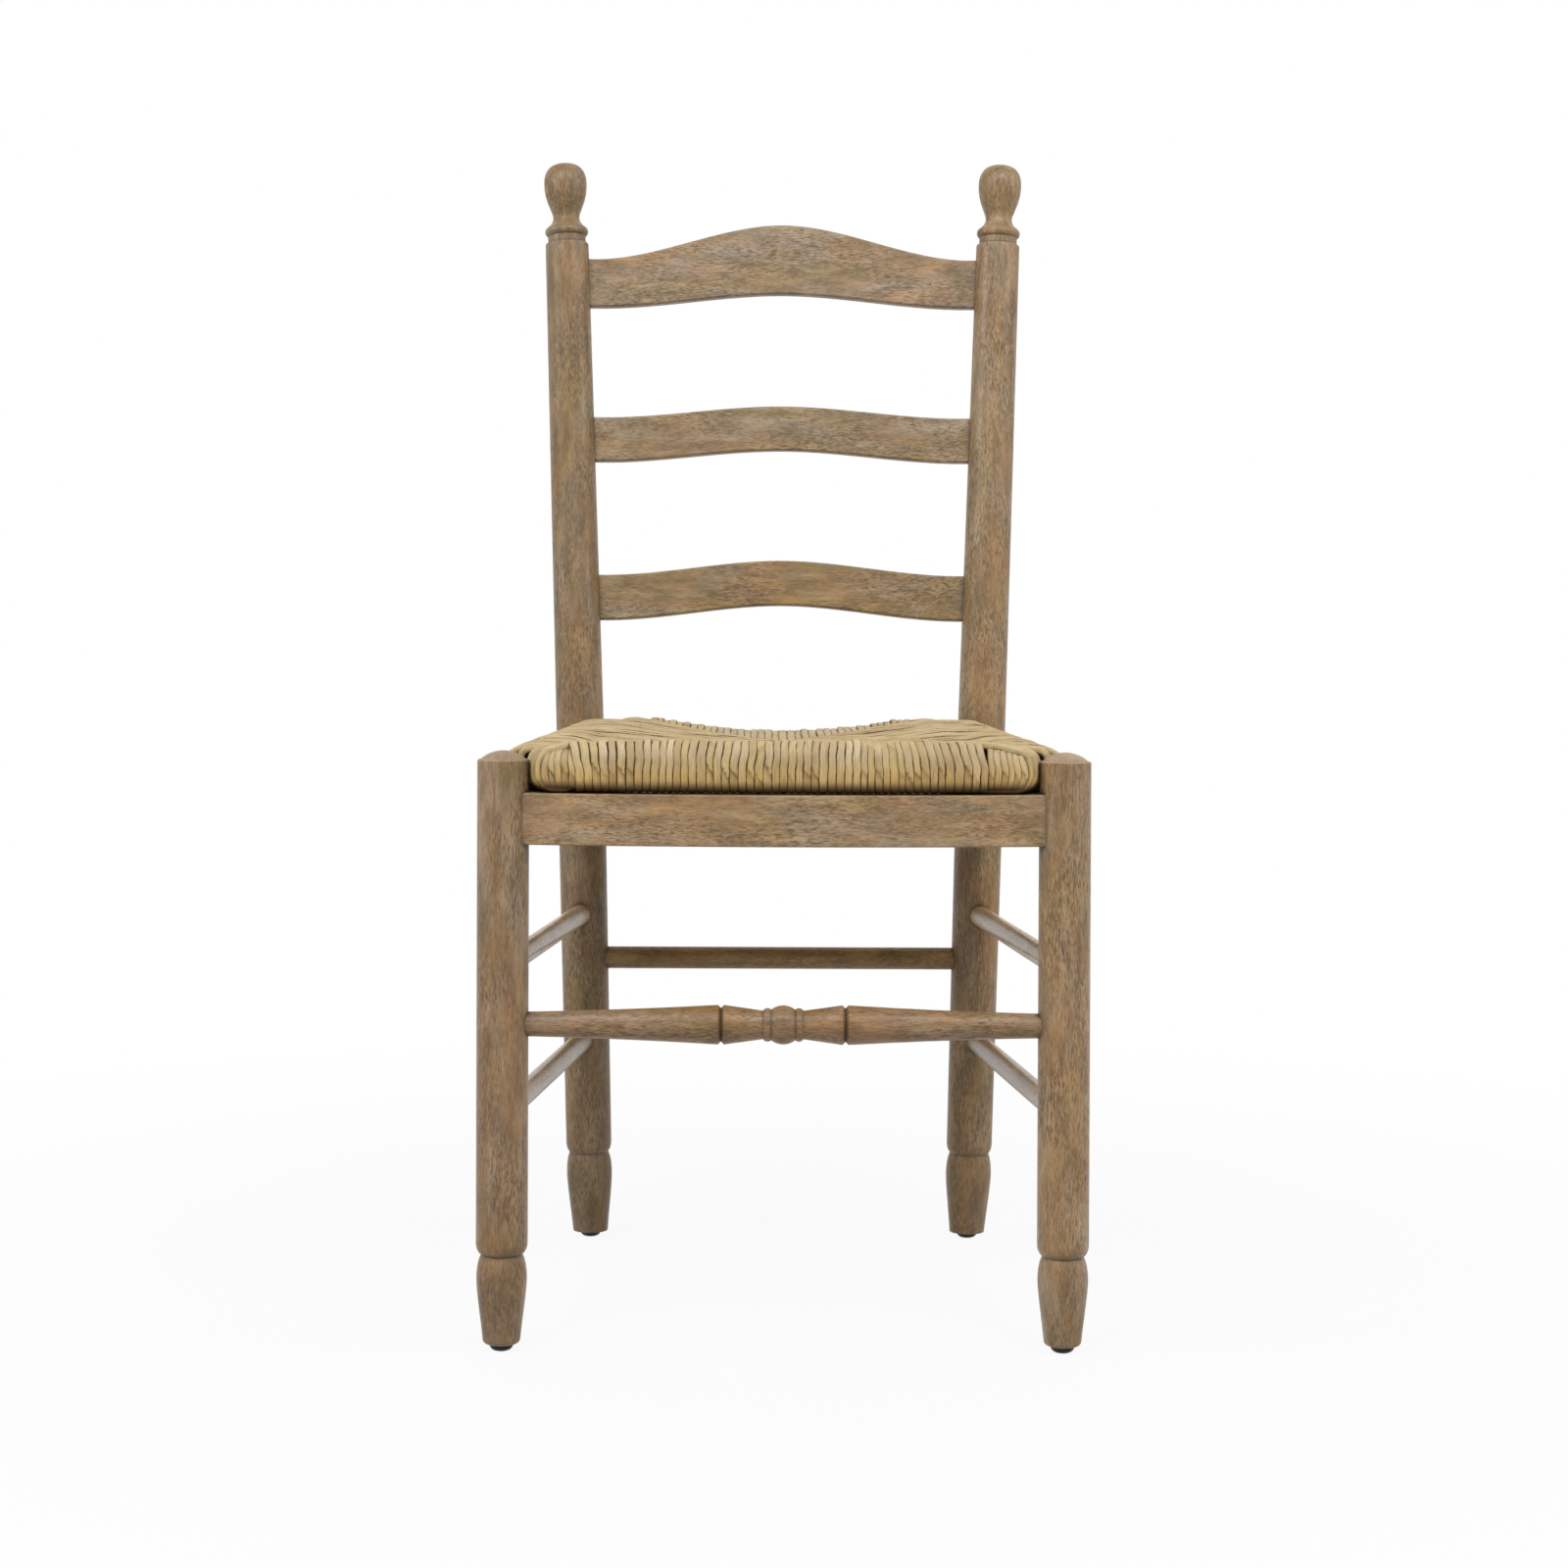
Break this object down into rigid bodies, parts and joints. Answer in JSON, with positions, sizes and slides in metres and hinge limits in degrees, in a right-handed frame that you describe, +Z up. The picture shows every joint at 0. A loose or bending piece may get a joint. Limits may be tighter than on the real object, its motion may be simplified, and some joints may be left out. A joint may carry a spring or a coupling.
{
  "type": "rush seat dining chair",
  "caption": "Ladder-back dining chair with turned legs and finial posts, arched back slats, turned and plain stretchers, and a woven rush seat on a loose frame.",
  "frame": {"origin": "centre of the chair's bounding box, on the floor", "axes": "+X to the right in the front view, +Y from the front legs to the back, +Z up"},
  "size_m": [0.473, 0.4956, 0.9813],
  "materials": {
    "washed_wood": "grey-brown wash over brown hardwood, satin",
    "raw_wood": "plain sawn, unfinished",
    "rush": "woven natural rush, matte to slightly waxy",
    "black_plastic": "black",
    "steel": "zinc plated"
  },
  "bodies": {
    "root": {"left_front_leg": "washed_wood", "right_front_leg": "washed_wood", "left_back_post": "washed_wood", "right_back_post": "washed_wood", "top_slat": "washed_wood", "middle_slat": "washed_wood", "bottom_slat": "washed_wood", "front_apron": "washed_wood", "back_apron": "washed_wood", "left_apron": "washed_wood", "right_apron": "washed_wood", "front_stretcher": "washed_wood", "back_stretcher": "washed_wood", "left_upper_stretcher": "washed_wood", "left_lower_stretcher": "washed_wood", "right_upper_stretcher": "washed_wood", "right_lower_stretcher": "washed_wood", "front_seat_rail": "raw_wood", "back_seat_rail": "raw_wood", "left_seat_rail": "raw_wood", "right_seat_rail": "raw_wood", "left_front_block": "raw_wood", "right_front_block": "raw_wood", "left_back_block": "raw_wood", "right_back_block": "raw_wood", "rush_seat": "rush", "left_front_glide": "black_plastic", "right_front_glide": "black_plastic", "left_back_glide": "black_plastic", "right_back_glide": "black_plastic", "seat_screws": "steel", "glide_nails": "steel"}
  },
  "joints": []
}
